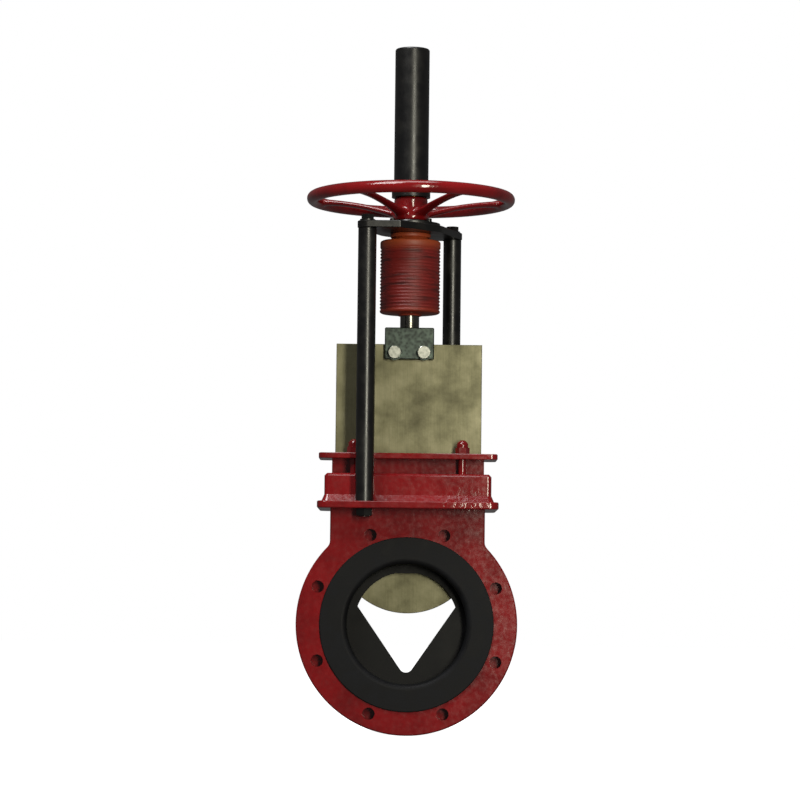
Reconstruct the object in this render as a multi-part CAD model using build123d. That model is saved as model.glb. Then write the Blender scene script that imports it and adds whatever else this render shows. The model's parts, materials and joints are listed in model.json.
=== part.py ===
from build123d import *
import math
import os

# Knife gate valve, V-port, rising stem, handwheel on a turning stem nut.
# Millimetres. +X right, +Y to the rear face, +Z up the stem.
# The origin is the centre of the port on the middle plane of the gate.
# Modelled partly closed: the gate stands rest_lift above its closed place.

# Port, sleeves and pipe flange
port_r = 81.5
seat_step = 11.5
sleeve_wall = 11.0
mouth_round = 8.6
sleeve_face_w = 33.4
sleeve_flange_t = 8.0
sleeve_proud = 3.0
sleeve_lip = 1.5
sleeve_gap = 0.1
seat_t = 12.0
bolt_count = 8
bolt_r = 9.525
bolt_depth = 25.0
bolt_land = 4.725
bolt_rim = 22.25
face_half = 54.0
disc_t = 30.0
disc_edge = 2.0
chest_wall = 24.8
web_fillet = 14.0

# V opening
v_half_angle = 34.6
v_vertex_drop = 1.9
v_round = 11.0

# Gate and its slot
gate_overlap = 33.0
gate_t = 12.7
gate_edge = 0.8
slot_side_gap = 0.7
slot_face_gap = 0.5
rest_lift = 131.5
open_margin = 21.5

# Neck, top flange and packing box
neck_wall = 4.8
neck_rise = 6.8
top_flange_over = 20.25
top_flange_t = 11.3
top_flange_corner = 14.0
top_flange_rim = 20.5
top_flange_round = 2.2
shoulder_h = 10.9
shoulder_inset = 5.0
shoulder_spread = 7.0
shoulder_corner = 10.0
box_wall = 11.0
box_h = 33.5
box_chamfer = 4.0
box_corner = 6.0
box_half_y = 46.0
skirt_wall = 3.8
packing_t = 7.2
packing_fit = 0.15
packing_ring_h = 8.0
packing_count = 3

# Twelve-millimetre bolts, nuts and washers
bolt_d = 12.0
bolt_hole_gap = 0.3
bolt_af = 19.0
bolt_head_h = 7.5
bolt_nut_h = 10.0
washer_r = 12.0
washer_t = 2.5

# Gland follower, studs and domed nuts
skirt_drop = 38.8
skirt_show = 23.3
gland_t = 8.7
gland_over = 20.5
gland_half_y = 44.0
gland_corner = 10.0
stud_x = 84.6
stud_y = 30.0
stud_bury = 14.0
stud_gap = 0.75
dome_hex_h = 10.0
dome_inset = 0.4
dome_h = 22.0
dome_room = 1.5

# Columns and yoke
column_d = 28.6
column_x = 67.3
column_y = 71.5
spigot_d = 16.0
spigot_gap = 0.5
column_nut_af = 24.0
column_nut_h = 11.5
spigot_end = 1.0
top_bolt_depth = 28.0
yoke_t = 11.0
yoke_end_over = 1.2
yoke_front_x = 14.0
yoke_hub_over = 7.5
yoke_corner = 3.0
plate_edge = 1.0

# Clevis, its bolts and the stem
clevis_grip = 24.5
clevis_w = 77.5
clevis_stem_wall = 1.45
clevis_gap = 0.1
clevis_bridge = 25.5
clevis_edge = 1.5
clevis_lift = 17.2
clevis_bolt_x = 23.0
clevis_bolt_drop = 14.0
bolt_end = 3.0
stem_d = 30.0
stem_socket_gap = 0.05
stem_chamfer = 2.0

# Boot
boot_r = 48.5
boot_fold = 7.0
boot_folds = 19
boot_wall = 2.5
boot_neck_gap = 19.2
boot_min = 44.3
boot_band_h = 12.0
boot_groove_h = 4.5
boot_groove_r = 28.0
boot_collar_r = 32.0
boot_collar_h = 7.0
boot_tail_wall = 4.0
boot_tail_h = 2.5
boot_stem_gap = 0.2
boot_end_gap = 0.1
spigot_ring_wall = 2.8
spigot_ring_gap = 0.2

# Stem nut, thrust races and bearing housing
thread_gap = 0.05
nut_wall = 5.0
nut_shoulder = 3.0
nut_journal_gap = 0.05
nut_flange_over = 8.0
nut_flange_t = 4.0
nut_top_h = 60.0
race_t = 2.5
race_seat = 4.0
race_gap = 0.1
race_side_gap = 0.4
housing_foot_rim = 6.0
housing_foot_t = 5.0
housing_wall = 3.6
housing_roof = 3.0
screw_d = 5.0
screw_count = 4
screw_inset = 9.1
screw_head_d = 8.5
screw_head_h = 5.0
screw_bury = 9.5
screw_gap = 0.1
screw_end_gap = 0.5
screw_key_share = 0.8

# Handwheel
wheel_r = 164.5
rim_r = 9.8
rim_rise = 34.6
hub_wall = 8.0
hub_h = 37.0
hub_round = 3.0
hub_gap = 0.05
hub_lift = 1.0
spoke_count = 5
spoke_w = 17.0
spoke_t = 9.0
spoke_root = 10.5
spoke_bury = 6.0
spoke_knee_r = 84.0
spoke_knee_drop = 7.0
spoke_hub_slope = 0.22
spoke_rim_slope = 0.10
key_w = 8.0
key_h = 6.0
key_len = 22.0
key_gap = 0.05

# Protector tube
socket_wall = 3.2
socket_gap = 0.3
socket_bore_gap = 0.05
socket_base_h = 11.0
socket_h = 24.5
socket_round = 2.5
tube_r = 27.2
tube_wall = 3.0
tube_seat_gap = 0.05
tube_headroom = 9.0
stem_reserve = 1.0
cap_t = 4.0
cap_plug = 8.0
cap_plug_gap = 0.1
cap_round = 3.0

# Nut corners, the run of a cutting tool past what it cuts, and how near counts as equal
nut_chamfer_deg = 30
nut_turn_deg = 30
past = 1.0
same = 0.01

# Sizes that follow from the ones above, across the pipe
throat_r = port_r + seat_step
sleeve_r = throat_r + sleeve_wall
mouth_r = throat_r + mouth_round
sleeve_face_r = mouth_r + sleeve_face_w
bolt_ring_r = sleeve_face_r + bolt_land + bolt_r
flange_r = bolt_ring_r + bolt_rim
face_outer = face_half + sleeve_proud
gate_r = port_r + gate_overlap
slot_half_x = gate_r + slot_side_gap
slot_half_y = gate_t / 2 + slot_face_gap
chest_r = slot_half_x + chest_wall
neck_half_x = slot_half_x + neck_wall
skirt_half_x = slot_half_x + skirt_wall
skirt_half_y = slot_half_y + packing_t
chamber_half_x = skirt_half_x + packing_fit
chamber_half_y = skirt_half_y + packing_fit
box_half_x = skirt_half_x + box_wall
top_flange_half_x = neck_half_x + top_flange_over
top_flange_half_y = column_y + top_flange_rim
gland_half_x = skirt_half_x + gland_over

# Sizes that follow from the ones above, up the stem
neck_top = flange_r + neck_rise
flange_top = neck_top + top_flange_t
box_bottom = flange_top + shoulder_h
box_top = box_bottom + box_h
gland_bottom = box_top + skirt_show
gland_top = gland_bottom + gland_t
skirt_bottom = gland_bottom - skirt_drop
packing_top = skirt_bottom
packing_bottom = packing_top - packing_count * packing_ring_h
gate_top = rest_lift + gland_top + clevis_lift + clevis_grip
clevis_bottom = gate_top - clevis_grip
bridge_bottom = gate_top + clevis_gap
clevis_top = bridge_bottom + clevis_bridge
clevis_bolt_z = gate_top - clevis_bolt_drop
open_lift = port_r + open_margin + gate_r
boot_bottom = clevis_top + boot_neck_gap
yoke_bottom = boot_bottom + boot_min + open_lift - rest_lift
yoke_top = yoke_bottom + yoke_t
race_low = yoke_top - race_seat
nut_flange_bottom = race_low + race_t + race_gap
nut_flange_top = nut_flange_bottom + nut_flange_t
housing_ceiling = nut_flange_top + race_gap + race_t
housing_top = housing_ceiling + housing_roof
hub_bottom = housing_top + hub_lift
hub_top = hub_bottom + hub_h
rim_z = hub_bottom + rim_rise
nut_bottom = yoke_bottom
nut_top = hub_bottom + nut_top_h
socket_bottom = hub_top + socket_gap
socket_top = socket_bottom + socket_h
tube_bottom = socket_bottom + socket_base_h
stem_top = hub_top - stem_reserve + rest_lift
plug_bottom = stem_top + open_lift - rest_lift + tube_headroom
tube_top = plug_bottom + cap_plug
cap_top = tube_top + cap_t
clevis_half_y = stem_d / 2 + clevis_stem_wall
boot_tail_r = stem_d / 2 + boot_tail_wall
nut_top_r = stem_d / 2 + nut_wall
nut_journal_r = nut_top_r + nut_shoulder
nut_flange_r = nut_journal_r + nut_flange_over
hub_r = nut_top_r + hub_wall
socket_r = tube_r + socket_wall
housing_bore_r = nut_flange_r + race_side_gap
housing_top_r = housing_bore_r + housing_wall
screw_ring_r = housing_bore_r + screw_inset
housing_foot_r = screw_ring_r + housing_foot_rim
boot_spigot_r = boot_collar_r - boot_wall * 2
yoke_end_r = column_d / 2 + yoke_end_over
yoke_hub_r = housing_foot_r + yoke_hub_over
yoke_front_y = column_y + yoke_end_r
long_cut = 4 * (flange_r + gland_top)


def up(shape, x, y, z):
    """Place a shape with its origin at a point."""
    return Pos(x, y, z) * shape


def rod(radius, z_low, z_high, x=0.0, y=0.0):
    """An upright round bar between two heights."""
    bar = Cylinder(radius, z_high - z_low, align=(Align.CENTER, Align.CENTER, Align.MIN))
    return up(bar, x, y, z_low)


def block(half_x, half_y, z_low, z_high):
    """An upright rectangular bar between two heights."""
    bar = Box(2 * half_x, 2 * half_y, z_high - z_low, align=(Align.CENTER, Align.CENTER, Align.MIN))
    return up(bar, 0, 0, z_low)


def across(radius, y_low, y_high, x=0.0, z=0.0):
    """A round bar along Y between two depths."""
    bar = Cylinder(radius, y_high - y_low, align=(Align.CENTER, Align.CENTER, Align.MIN))
    return Pos(x, y_low, z) * Rot(-90, 0, 0) * bar


def hexagon(across_flats, z_low, z_high, x=0.0, y=0.0, spin=0.0):
    """An upright hexagonal bar between two heights."""
    outline = RegularPolygon(across_flats / math.sqrt(3), 6, rotation=spin)
    return up(extrude(outline, z_high - z_low), x, y, z_low)


def nut_blank(across_flats, z_low, z_high, x=0.0, y=0.0, spin=0.0):
    """A hexagon with the corners of both ends turned off at thirty degrees."""
    height = z_high - z_low
    corner = across_flats / math.sqrt(3)
    drop = (corner - across_flats / 2) * math.tan(math.radians(nut_chamfer_deg))
    profile = Polygon(
        (0, 0), (across_flats / 2, 0), (corner, drop), (corner, height - drop),
        (across_flats / 2, height), (0, height), align=None)
    cone = revolve(Plane.XZ * profile, Axis.Z)
    return hexagon(across_flats, z_low, z_high, x, y, spin) & up(cone, x, y, z_low)


def upright_edges(shape):
    """The edges of a shape that stand parallel to Z."""
    return shape.edges().filter_by(Axis.Z)


def round_slab(half_x, half_y, corner, z_low, z_high):
    """A flat plate with rounded corners."""
    slab = block(half_x, half_y, z_low, z_high)
    return fillet(upright_edges(slab), corner)


def pair(shape):
    """A shape and its copy half a turn round the stem, as one group."""
    return Compound(children=[shape, Rot(0, 0, 180) * shape])


def bolt_places():
    """Centres of the pipe-flange holes as (x, z)."""
    step = 360 / bolt_count
    angles = [math.radians(step * (i + 0.5)) for i in range(bolt_count)]
    return [(bolt_ring_r * math.cos(a), bolt_ring_r * math.sin(a)) for a in angles]


def web(radius, half_y):
    """A round disc on the pipe axis with the neck's sides run into it by fillets."""
    top = flange_top - top_flange_round
    outline = Circle(radius) + Pos(0, top / 2) * Rectangle(2 * neck_half_x, top)
    joints = [v for v in outline.vertices() if abs(abs(v.X) - neck_half_x) < same and v.Y < radius]
    outline = fillet(joints, web_fillet)
    return Pos(0, half_y, 0) * extrude(Plane.XZ * outline, amount=2 * half_y)


def body_outside():
    """Flange discs, chest, neck, top flange and packing box as one casting."""
    disc = Pos(0, (disc_t - 2 * face_half) / 2, 0) * web(flange_r, disc_t / 2)
    disc = chamfer(disc.faces().filter_by(Axis.Y).edges(), disc_edge)
    chest = web(chest_r, face_half - disc_t / 2)
    neck = block(neck_half_x, face_half - disc_edge, 0, neck_top)
    flange = round_slab(top_flange_half_x, top_flange_half_y, top_flange_corner, neck_top, flange_top)
    flange = fillet(flange.faces().filter_by(Axis.Z).edges(), top_flange_round)
    shoulder_low = RectangleRounded(
        2 * (top_flange_half_x - shoulder_inset), 2 * (box_half_y + shoulder_spread), shoulder_corner)
    shoulder_high = RectangleRounded(2 * box_half_x, 2 * box_half_y, box_corner)
    shoulder = loft([
        Pos(0, 0, flange_top - top_flange_round / 2) * shoulder_low,
        Pos(0, 0, box_bottom) * shoulder_high])
    box = round_slab(box_half_x, box_half_y, box_corner, box_bottom, box_top)
    box = chamfer(box.faces().sort_by(Axis.Z)[-1].edges(), box_chamfer)
    return disc + Rot(0, 0, 180) * disc + chest + neck + flange + shoulder + box


def slot_tool(half_x, half_y, z_high):
    """The space swept by a blade with a half-round lower end."""
    return across(half_x, -half_y, half_y) + block(half_x, half_y, 0, z_high)


def build_body():
    """The casting with its port, gate slot, packing chamber and holes."""
    shape = body_outside()
    shape -= across(sleeve_r + sleeve_gap, -face_half - past, face_half + past)
    recess = across(sleeve_face_r + sleeve_gap, face_outer - sleeve_flange_t, face_half + past)
    shape -= recess + Rot(0, 0, 180) * recess
    shape -= slot_tool(slot_half_x, slot_half_y, box_top + past)
    shape -= block(chamber_half_x, chamber_half_y, packing_bottom, box_top + past)
    for x, z in bolt_places():
        hole = across(bolt_r, face_half - bolt_depth, face_half + past, x, z)
        shape -= hole + Rot(0, 0, 180) * hole
    for x in (-stud_x, stud_x):
        for y in (-stud_y, stud_y):
            shape -= rod(bolt_d / 2, box_top - stud_bury, box_top + past, x, y)
    hole_r = spigot_d / 2 + spigot_gap
    for side in (-1, 1):
        shape -= rod(hole_r, neck_top - past, flange_top + past, side * column_x, side * column_y)
    return shape


def build_sleeve(side):
    """An elastomer sleeve: barrel, face flange and rounded mouth; side -1 is the front."""
    inner = slot_half_y + seat_t
    back = face_outer - sleeve_flange_t
    profile = make_face(Polyline(
        (throat_r, inner), (sleeve_r, inner), (sleeve_r, back), (sleeve_face_r, back),
        (sleeve_face_r, face_outer), (throat_r, face_outer), close=True))
    ring = revolve(Plane.XY * profile, Axis.Y)
    mouth = ring.edges().filter_by(GeomType.CIRCLE).filter_by(
        lambda e: abs(e.radius - throat_r) < same and abs(abs(e.center().Y) - face_outer) < same)
    ring = fillet(mouth, mouth_round)
    lip = ring.edges().filter_by(GeomType.CIRCLE).filter_by(
        lambda e: abs(e.radius - sleeve_face_r) < same and abs(abs(e.center().Y) - face_outer) < same)
    ring = fillet(lip, sleeve_lip)
    return ring if side > 0 else Rot(0, 0, 180) * ring


def v_outline():
    """The port opening: a round top that narrows to a rounded point."""
    slope = math.tan(math.radians(v_half_angle))
    vertex = -(port_r + v_vertex_drop)
    half = 2 * port_r * slope
    wide = vertex + 2 * port_r
    wedge = make_face(Polyline((0, vertex), (half, wide), (-half, wide), close=True))
    tip = wedge.vertices().sort_by(Axis.Y)[0]
    return fillet(tip, v_round) & Circle(port_r)


def build_v_orifice():
    """The V-port plate between the front sleeve and the gate."""
    shape = across(sleeve_r, -slot_half_y - seat_t, -slot_half_y)
    opening = extrude(Plane.XZ * v_outline(), amount=2 * (slot_half_y + seat_t))
    return shape - opening


def build_rear_seat():
    """The round seat ring between the gate and the rear sleeve."""
    shape = across(sleeve_r, slot_half_y, slot_half_y + seat_t)
    return shape - across(port_r, slot_half_y - past, slot_half_y + seat_t + past)


def build_packing(index):
    """One packing ring round the gate, counted from the lowest."""
    low = packing_bottom + index * packing_ring_h
    ring = block(skirt_half_x, skirt_half_y, low, low + packing_ring_h)
    return ring - block(slot_half_x, slot_half_y, low - past, low + packing_ring_h + past)


def build_gland_follower():
    """The gland plate with the skirt that presses the packing."""
    plate = round_slab(gland_half_x, gland_half_y, gland_corner, gland_bottom, gland_top)
    plate = chamfer(plate.faces().filter_by(Axis.Z).edges(), plate_edge)
    shape = plate + block(skirt_half_x, skirt_half_y, skirt_bottom, gland_bottom + past)
    shape -= block(slot_half_x, slot_half_y, skirt_bottom - past, gland_top + past)
    for x in (-stud_x, stud_x):
        for y in (-stud_y, stud_y):
            shape -= rod(bolt_d / 2 + stud_gap, gland_bottom - past, gland_top + past, x, y)
    return shape


def build_gland_studs():
    """Four studs from the packing box up into the domed nuts."""
    low = box_top - stud_bury
    high = gland_top + dome_hex_h
    studs = []
    for x in (-stud_x, stud_x):
        for y in (-stud_y, stud_y):
            studs.append(rod(bolt_d / 2, low, high, x, y))
    return Compound(children=studs)


def dome_nut(x, y):
    """A domed nut: a hexagon with a round cap over a blind hole."""
    hex_part = nut_blank(bolt_af, gland_top, gland_top + dome_hex_h, x, y)
    cap_r = bolt_af / 2 - dome_inset
    straight = dome_h - dome_hex_h - cap_r
    stem = rod(cap_r, gland_top + dome_hex_h - past, gland_top + dome_hex_h + straight, x, y)
    ball = up(Sphere(cap_r), x, y, gland_top + dome_hex_h + straight)
    hole = rod(bolt_d / 2, gland_top - past, gland_top + dome_hex_h + dome_room, x, y)
    return hex_part + stem + ball - hole


def build_gland_nuts():
    """The four domed nuts on the gland studs."""
    nuts = [dome_nut(x, y) for x in (-stud_x, stud_x) for y in (-stud_y, stud_y)]
    return Compound(children=nuts)


def build_column(side):
    """A yoke column: a bar with a lower spigot and a tapped top; side -1 is the front left."""
    shape = rod(column_d / 2, flange_top, yoke_bottom)
    shape = chamfer(shape.faces().sort_by(Axis.Z)[-1].edges(), plate_edge)
    shape += rod(spigot_d / 2, neck_top - column_nut_h - spigot_end, flange_top + past)
    shape -= rod(bolt_d / 2, yoke_bottom - top_bolt_depth - past, yoke_bottom + past)
    return up(shape, side * column_x, side * column_y, 0)


def build_column_nuts():
    """The two nuts under the top flange."""
    low = neck_top - column_nut_h
    nut = nut_blank(column_nut_af, low, neck_top, column_x, column_y, nut_turn_deg)
    return pair(nut - rod(spigot_d / 2, low - past, neck_top + past, column_x, column_y))


def build_yoke_washers():
    """The two washers under the heads of the yoke bolts."""
    disc = rod(washer_r, yoke_top, yoke_top + washer_t, column_x, column_y)
    return pair(disc - rod(bolt_d / 2, yoke_top - past, yoke_top + washer_t + past, column_x, column_y))


def build_yoke_bolts():
    """The two hexagon bolts that hold the yoke plate down on the columns."""
    seat = yoke_top + washer_t
    shank = rod(bolt_d / 2, yoke_bottom - top_bolt_depth, seat + past, column_x, column_y)
    return pair(shank + nut_blank(bolt_af, seat, seat + bolt_head_h, column_x, column_y, nut_turn_deg))


def hull(circles):
    """The face inside a belt round circles (x, y, radius), given anticlockwise."""
    belts = list(zip(circles, circles[1:] + circles[:1]))
    normals = []
    for (x, y, r), (next_x, next_y, next_r) in belts:
        lean = math.acos((r - next_r) / math.hypot(next_x - x, next_y - y))
        normals.append(math.atan2(next_y - y, next_x - x) - lean)
    edges = []
    for i, ((x, y, r), (next_x, next_y, next_r)) in enumerate(belts):
        into = normals[i - 1]
        out = into + (normals[i] - into) % math.tau
        spots = [(x + r * math.cos(a), y + r * math.sin(a)) for a in (into, (into + out) / 2, out)]
        edges.append(ThreePointArc(*spots))
        edges.append(Line(spots[-1], (next_x + next_r * math.cos(out), next_y + next_r * math.sin(out))))
    return make_face(edges)


def yoke_arm():
    """Outline of the hub and the front left arm of the yoke plate."""
    end = (-column_x, -column_y, yoke_end_r)
    corner = (-yoke_front_x - yoke_corner, yoke_corner - yoke_front_y, yoke_corner)
    return hull([(0, 0, yoke_hub_r), end, corner])


def build_yoke_plate():
    """The Z-shaped plate across the columns."""
    arm = extrude(yoke_arm(), yoke_t)
    shape = up(arm + Rot(0, 0, 180) * arm, 0, 0, yoke_bottom)
    shape = chamfer(shape.faces().filter_by(Axis.Z).edges(), plate_edge)
    shape -= rod(nut_journal_r + nut_journal_gap, yoke_bottom - past, yoke_top + past)
    shape -= rod(housing_bore_r, race_low, yoke_top + past)
    for side in (-1, 1):
        hole_r = bolt_d / 2 + bolt_hole_gap
        shape -= rod(hole_r, yoke_bottom - past, yoke_top + past, side * column_x, side * column_y)
    for x, y in screw_places():
        shape -= rod(screw_d / 2 + screw_gap, yoke_top - screw_bury - screw_end_gap, yoke_top + past, x, y)
    return shape


def screw_places():
    """Centres of the housing screws."""
    angles = [math.radians(360 / screw_count * (i + 0.5)) for i in range(screw_count)]
    return [(screw_ring_r * math.cos(a), screw_ring_r * math.sin(a)) for a in angles]


def build_housing():
    """The conical bearing housing over the thrust races."""
    foot_top = yoke_top + housing_foot_t
    profile = Polyline(
        (housing_bore_r, yoke_top), (housing_foot_r, yoke_top), (housing_foot_r, foot_top),
        (screw_ring_r - screw_head_d / 2 - screw_gap, foot_top), (housing_top_r, housing_top),
        (nut_journal_r + nut_journal_gap, housing_top), (nut_journal_r + nut_journal_gap, housing_ceiling),
        (housing_bore_r, housing_ceiling), close=True)
    shape = revolve(Plane.XZ * make_face(profile), Axis.Z)
    for x, y in screw_places():
        shape -= rod(screw_d / 2 + screw_gap, yoke_top - past, foot_top + past, x, y)
        shape -= rod(screw_head_d / 2 + screw_gap, foot_top, housing_top + past, x, y)
    return shape


def build_housing_screws():
    """Four socket-head screws through the foot of the housing."""
    seat = yoke_top + housing_foot_t
    head_top = seat + screw_head_h
    screws = []
    for x, y in screw_places():
        screw = rod(screw_d / 2, yoke_top - screw_bury, seat + past, x, y)
        screw += rod(screw_head_d / 2, seat, head_top, x, y)
        screw -= hexagon(screw_d * screw_key_share, seat + screw_head_h / 2, head_top + past, x, y)
        screws.append(screw)
    return Compound(children=screws)


def build_race(low):
    """A flat thrust race."""
    ring = rod(nut_flange_r, low, low + race_t)
    return ring - rod(nut_journal_r + nut_journal_gap, low - past, low + race_t + past)


def build_boot_spigot():
    """The ring under the yoke plate that the boot is drawn over."""
    low = yoke_bottom - boot_collar_h
    bore_r = boot_spigot_r - spigot_ring_wall
    return rod(boot_spigot_r, low, yoke_bottom) - rod(bore_r, low - past, yoke_bottom + past)


def boot_side(radius_out, radius_in, high, low):
    """Points of the folds from the top down, a crest and a valley half a pitch apart."""
    half_pitch = (high - low) / boot_folds / 2
    points = []
    for i in range(boot_folds):
        points.append((radius_out, high - half_pitch * (2 * i + 1 / 2)))
        points.append((radius_in, high - half_pitch * (2 * i + 3 / 2)))
    return points


def build_stem_boot():
    """The ribbed boot from the yoke plate down to the stem."""
    collar_low = yoke_bottom - boot_collar_h
    band_top = collar_low - boot_groove_h
    fold_top = band_top - boot_band_h
    fold_low = boot_bottom + boot_tail_h + boot_wall
    collar_top = yoke_bottom - boot_end_gap
    inner_r = boot_spigot_r + spigot_ring_gap
    tail_bore_r = stem_d / 2 + boot_stem_gap
    outside = [(inner_r, collar_top), (boot_collar_r, collar_top), (boot_collar_r, collar_low)]
    outside += [(boot_groove_r + boot_wall, collar_low), (boot_groove_r + boot_wall, band_top)]
    outside += [(boot_r, band_top), (boot_r, fold_top)]
    outside += boot_side(boot_r, boot_r - boot_fold, fold_top, fold_low)
    outside += [(boot_tail_r, fold_low - boot_wall), (boot_tail_r, boot_bottom)]
    outside += [(tail_bore_r, boot_bottom)]
    inside = [(tail_bore_r, fold_low)]
    folds = boot_side(boot_r - boot_wall, boot_r - boot_fold - boot_wall, fold_top, fold_low)
    inside += [point for point in reversed(folds) if point[1] > fold_low + boot_wall]
    inside += [(boot_r - boot_wall, band_top - boot_wall), (boot_groove_r, band_top - boot_wall)]
    inside += [(boot_groove_r, collar_low - spigot_ring_gap), (inner_r, collar_low - spigot_ring_gap)]
    return revolve(Plane.XZ * make_face(Polyline(*outside, *inside, close=True)), Axis.Z)


def build_gate():
    """The gate blade with its half-round lower end and clevis bolt holes."""
    low = across(gate_r, -gate_t / 2, gate_t / 2, 0, rest_lift)
    shape = low + block(gate_r, gate_t / 2, rest_lift, gate_top)
    shape = chamfer(shape.faces().filter_by(Axis.Y).edges(), gate_edge)
    for x in (-clevis_bolt_x, clevis_bolt_x):
        shape -= across(bolt_d / 2 + bolt_hole_gap, -gate_t, gate_t, x, clevis_bolt_z)
    return shape


def build_clevis():
    """Two cheeks over the gate joined by a bridge bored for the stem."""
    shape = block(clevis_w / 2, clevis_half_y, clevis_bottom, clevis_top)
    shape = chamfer(shape.edges(), clevis_edge)
    shape -= block(clevis_w, gate_t / 2 + clevis_gap, clevis_bottom - past, bridge_bottom)
    shape -= rod(stem_d / 2 + stem_socket_gap, bridge_bottom - past, clevis_top + past)
    hole_r = bolt_d / 2 + bolt_hole_gap
    half_y = clevis_half_y + past
    for x in (-clevis_bolt_x, clevis_bolt_x):
        shape -= across(hole_r, -half_y, half_y, x, clevis_bolt_z)
    return shape


def build_clevis_hardware():
    """Bolts, washers and nuts through the clevis, as three groups."""
    face = clevis_half_y
    seat = face + washer_t
    lay_down = Rot(90, 0, 0)
    bolts = []
    washers = []
    nuts = []
    for x in (-clevis_bolt_x, clevis_bolt_x):
        bolt = rod(bolt_d / 2, -seat - bolt_nut_h - bolt_end, seat + past)
        bolt += nut_blank(bolt_af, seat, seat + bolt_head_h)
        bolts.append(Pos(x, 0, clevis_bolt_z) * lay_down * bolt)
        for low in (face, -seat):
            washer = rod(washer_r, low, low + washer_t) - rod(bolt_d / 2, low - past, low + washer_t + past)
            washers.append(Pos(x, 0, clevis_bolt_z) * lay_down * washer)
        nut = nut_blank(bolt_af, -seat - bolt_nut_h, -seat)
        nut -= rod(bolt_d / 2, -seat - bolt_nut_h - past, -seat + past)
        nuts.append(Pos(x, 0, clevis_bolt_z) * lay_down * nut)
    return Compound(children=bolts), Compound(children=washers), Compound(children=nuts)


def build_stem():
    """The rising stem, shown at its thread's outside diameter."""
    shape = rod(stem_d / 2, bridge_bottom + clevis_gap, stem_top)
    return chamfer(shape.faces().sort_by(Axis.Z)[-1].edges(), stem_chamfer)


def keyway(growth):
    """The key between stem nut and hub, grown by a clearance."""
    grown = 2 * growth
    base = (Align.CENTER, Align.CENTER, Align.MIN)
    bar = Box(key_h + grown, key_w + grown, key_len + grown, align=base)
    return up(bar, nut_top_r, 0, hub_top - key_len - hub_round - growth)


def build_stem_nut():
    """The bronze nut: journal, thrust flange and upper seat for the hub."""
    shape = rod(nut_journal_r, nut_bottom, hub_bottom)
    shape += rod(nut_flange_r, nut_flange_bottom, nut_flange_top)
    shape += rod(nut_top_r, hub_bottom, nut_top)
    shape -= rod(stem_d / 2 + thread_gap, nut_bottom - past, nut_top + past)
    return shape - keyway(key_gap)


def spoke(angle):
    """One dished spoke from low on the hub up to the rim."""
    start = (hub_r - spoke_bury, 0, hub_bottom + spoke_root)
    knee = (spoke_knee_r, 0, rim_z - spoke_knee_drop)
    end = (wheel_r - rim_r, 0, rim_z)
    path = Spline(start, knee, end, tangents=((1, 0, spoke_hub_slope), (1, 0, spoke_rim_slope)))
    section = Plane(origin=start, x_dir=(0, 1, 0), z_dir=(1, 0, 0)) * Ellipse(spoke_w / 2, spoke_t / 2)
    return Rot(0, 0, angle) * sweep(section, path=path)


def build_handwheel():
    """Rim, dished spokes and hub of the handwheel."""
    rim = up(Torus(wheel_r - rim_r, rim_r), 0, 0, rim_z)
    hub = rod(hub_r, hub_bottom, hub_top)
    hub = fillet(hub.faces().filter_by(Axis.Z).edges(), hub_round)
    shape = rim + hub
    for i in range(spoke_count):
        shape += spoke(90 + i * 360 / spoke_count)
    shape -= rod(nut_top_r + hub_gap, hub_bottom - past, hub_top + past)
    return shape - keyway(key_gap)


def build_socket():
    """The flared collar that clamps the hub and carries the tube."""
    shape = rod(socket_r, socket_bottom, socket_top)
    shape = fillet(shape.faces().sort_by(Axis.Z)[-1].edges(), socket_round)
    shape -= rod(nut_top_r + socket_bore_gap, socket_bottom - past, tube_bottom + past)
    return shape - rod(tube_r + tube_seat_gap, tube_bottom, socket_top + past)


def build_tube():
    """The stem protector tube."""
    low = tube_bottom + tube_seat_gap
    return rod(tube_r, low, tube_top) - rod(tube_r - tube_wall, low - past, tube_top + past)


def build_cap():
    """The rounded cap with a plug inside the tube."""
    head = rod(tube_r, tube_top, cap_top)
    head = fillet(head.faces().sort_by(Axis.Z)[-1].edges(), cap_round)
    return head + rod(tube_r - tube_wall - cap_plug_gap, plug_bottom, tube_top + past)


def main():
    """Build every node and write it."""
    bolts, washers, nuts = build_clevis_hardware()
    parts = {
        "body": build_body(),
        "front_sleeve": build_sleeve(-1),
        "rear_sleeve": build_sleeve(1),
        "v_orifice": build_v_orifice(),
        "rear_seat": build_rear_seat(),
        "packing_lower": build_packing(0),
        "packing_middle": build_packing(1),
        "packing_upper": build_packing(2),
        "gland_follower": build_gland_follower(),
        "gland_studs": build_gland_studs(),
        "gland_nuts": build_gland_nuts(),
        "column_left": build_column(-1),
        "column_right": build_column(1),
        "column_nuts": build_column_nuts(),
        "yoke_washers": build_yoke_washers(),
        "yoke_bolts": build_yoke_bolts(),
        "yoke_plate": build_yoke_plate(),
        "bearing_housing": build_housing(),
        "housing_screws": build_housing_screws(),
        "race_lower": build_race(race_low),
        "race_upper": build_race(nut_flange_top + race_gap),
        "boot_spigot": build_boot_spigot(),
        "stem_boot": build_stem_boot(),
        "gate": build_gate(),
        "clevis": build_clevis(),
        "clevis_bolts": bolts,
        "clevis_washers": washers,
        "clevis_nuts": nuts,
        "stem": build_stem(),
        "stem_nut": build_stem_nut(),
        "wheel_key": keyway(0),
        "handwheel": build_handwheel(),
        "tube_socket": build_socket(),
        "protector_tube": build_tube(),
        "tube_cap": build_cap(),
    }
    os.makedirs("parts", exist_ok=True)
    for node, shape in parts.items():
        export_step(shape, f"parts/{node}.step")
        print(node, round(shape.volume / 1000, 2), "cm3")


main()
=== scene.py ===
import json
import logging
import math
from dataclasses import dataclass
from enum import Enum

import bmesh
import bpy
from mathutils import Matrix, Vector


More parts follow.
